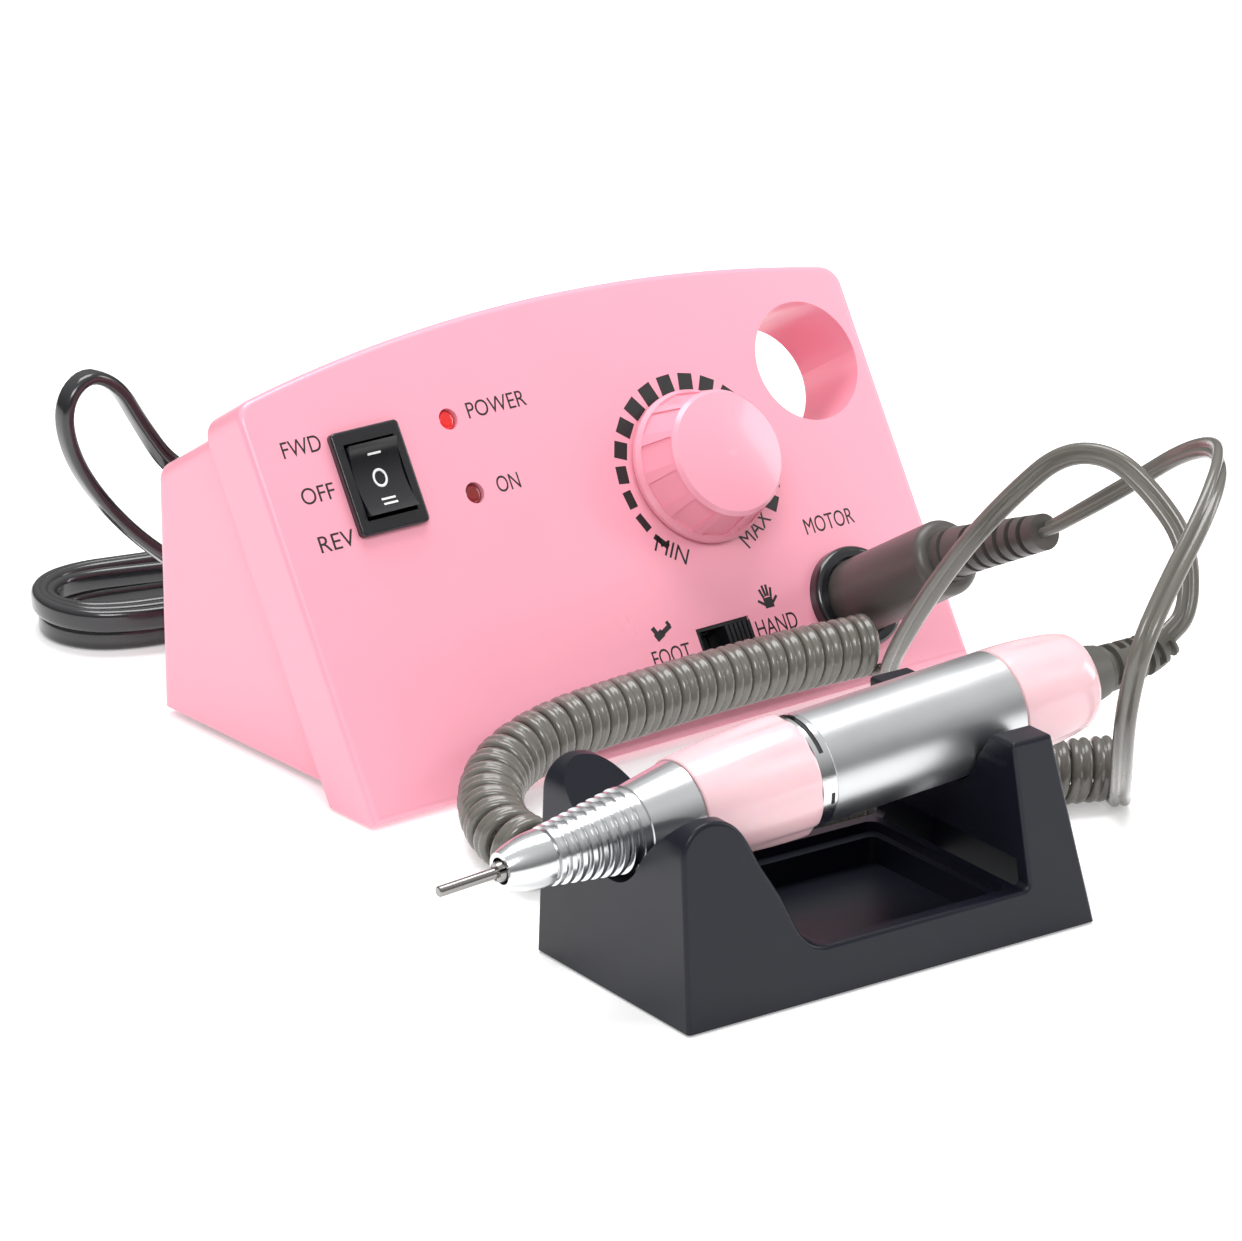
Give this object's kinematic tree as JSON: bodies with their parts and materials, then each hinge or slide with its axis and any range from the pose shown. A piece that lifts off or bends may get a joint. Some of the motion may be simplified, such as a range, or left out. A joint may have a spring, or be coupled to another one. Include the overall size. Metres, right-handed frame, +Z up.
{
  "type": "electric nail drill",
  "caption": "Bench nail drill: sloped control box with speed knob, switches and curly cord, and a twist-lock handpiece resting in a bit-tray cradle.",
  "frame": {"origin": "middle of the underside of the control box and cradle as they stand on the table, cords left out", "axes": "+X to the user's right, +Y away from the user to the back of the box, +Z up"},
  "size_m": [0.2316, 0.3026, 0.0935],
  "materials": {
    "pink_shell": "glossy light pink moulding",
    "base_plastic": "matt dark moulding",
    "black_plastic": "glossy black moulding",
    "rubber_black": "matt black rubber",
    "screw_steel": "zinc plated steel",
    "red_lamp": "tinted lens",
    "dark_red_lamp": "tinted lens, unlit",
    "knob_plastic": "satin pink moulding",
    "contact_brass": "tinned brass",
    "board_green": "glass fibre board with green mask",
    "can_black": "sleeved can",
    "sink_aluminium": "extruded aluminium",
    "core_steel": "varnished laminations",
    "coil_wrap": "taped winding",
    "fuse_glass": "glass tube fuse",
    "plug_grey": "satin grey moulding",
    "cord_grey": "glossy grey-olive jacket",
    "cord_black": "glossy black jacket",
    "cradle_navy": "satin navy black moulding",
    "satin_metal": "blasted aluminium",
    "polished_metal": "polished steel",
    "sleeve_pink": "translucent pale pink moulding",
    "motor_steel": "plated steel",
    "magnet_dark": "ferrite",
    "brush_carbon": "carbon",
    "copper_wire": "copper",
    "tool_steel": "hardened tool steel"
  },
  "bodies": {
    "control_box": {"front_shell": "pink_shell", "rear_shell": "pink_shell", "base_plate": "base_plastic", "base_screws": "screw_steel", "rubber_feet": "rubber_black", "rocker_housing": "black_plastic", "rocker_terminals": "contact_brass", "power_led": "red_lamp", "on_led": "dark_red_lamp", "potentiometer_body": "motor_steel", "potentiometer_nut": "screw_steel", "slide_switch_body": "black_plastic", "motor_socket": "black_plastic", "socket_nut": "screw_steel", "motor_plug": "plug_grey", "plug_shell": "polished_metal", "plug_relief": "plug_grey", "control_board": "board_green", "capacitors": "can_black", "heat_sink": "sink_aluminium", "power_transistor": "black_plastic", "transformer_core": "core_steel", "transformer_coil": "coil_wrap", "fuse_holder": "black_plastic", "foot_pedal_jack": "black_plastic", "mains_gland": "black_plastic", "cradle": "cradle_navy", "cradle_pads": "rubber_black", "curly_cord": "cord_grey", "handpiece_lead": "cord_grey", "plug_lead": "cord_grey", "mains_cord": "cord_black", "mains_coil": "cord_black", "mains_plug": "black_plastic", "mains_pins": "contact_brass"},
    "rocker": {"rocker_button": "black_plastic"},
    "knob": {"speed_knob": "knob_plastic", "potentiometer_shaft": "motor_steel"},
    "lever": {"slide_switch_lever": "black_plastic"},
    "fuse": {"fuse_cap": "black_plastic", "fuse_cartridge": "fuse_glass"},
    "handpiece": {"nose_cone": "satin_metal", "index_ring": "satin_metal", "motor_casing": "satin_metal", "end_cap": "sleeve_pink", "handpiece_relief": "plug_grey", "motor_can": "motor_steel", "motor_magnets": "magnet_dark", "spindle_bearings": "motor_steel", "motor_bearings": "motor_steel", "carbon_brushes": "brush_carbon"},
    "sleeve": {"twist_sleeve": "sleeve_pink", "cam_ring": "motor_steel"},
    "spindle": {"spindle": "tool_steel", "drive_coupling": "motor_steel", "motor_shaft": "tool_steel", "armature": "copper_wire", "commutator": "copper_wire"},
    "collet": {"collet": "tool_steel"},
    "bit": {"mandrel_bit": "tool_steel"}
  },
  "joints": [
    {"name": "rocker_tilt", "type": "hinge", "parent": "control_box", "child": "rocker", "pos_m": [-0.0297, 0.05516, 0.06529], "axis": [1, 0, 0], "range_deg": [-10, 10]},
    {"name": "knob_turn", "type": "hinge", "parent": "control_box", "child": "knob", "pos_m": [0.0567, 0.04175, 0.05547], "axis": [0, 0.859, -0.512], "range_deg": [0, 270]},
    {"name": "lever_slide", "type": "slide", "parent": "control_box", "child": "lever", "axis": [1, 0, 0], "range_m": [-0.005, 0]},
    {"name": "fuse_cap_turn", "type": "hinge", "parent": "control_box", "child": "fuse", "pos_m": [0.0302, 0.1068, 0.024], "axis": [0, 1, 0], "range_deg": [0, 90]},
    {"name": "handpiece_lift", "type": "slide", "parent": "control_box", "child": "handpiece", "axis": [0, 0, 1], "range_m": [0, 0.06], "deforming": ["handpiece_lead"]},
    {"name": "sleeve_twist", "type": "hinge", "parent": "handpiece", "child": "sleeve", "pos_m": [-0.04281, -0.08762, 0.03765], "axis": [0.9956, -0.0665, 0.0663], "range_deg": [0, 60]},
    {"name": "spindle_spin", "type": "hinge", "parent": "handpiece", "child": "spindle", "pos_m": [-0.04281, -0.08762, 0.03765], "axis": [0.9956, -0.0665, 0.0663], "continuous": true},
    {"name": "collet_release", "type": "slide", "parent": "spindle", "child": "collet", "axis": [-0.9956, 0.0665, -0.0663], "range_m": [0, 0.0008]},
    {"name": "bit_pull", "type": "slide", "parent": "collet", "child": "bit", "axis": [-0.9956, 0.0665, -0.0663], "range_m": [0, 0.045]}
  ],
  "couplings": [
    {"joint": "collet_release", "follows": "sleeve_twist", "m_per_rad": 0.0007448}
  ]
}
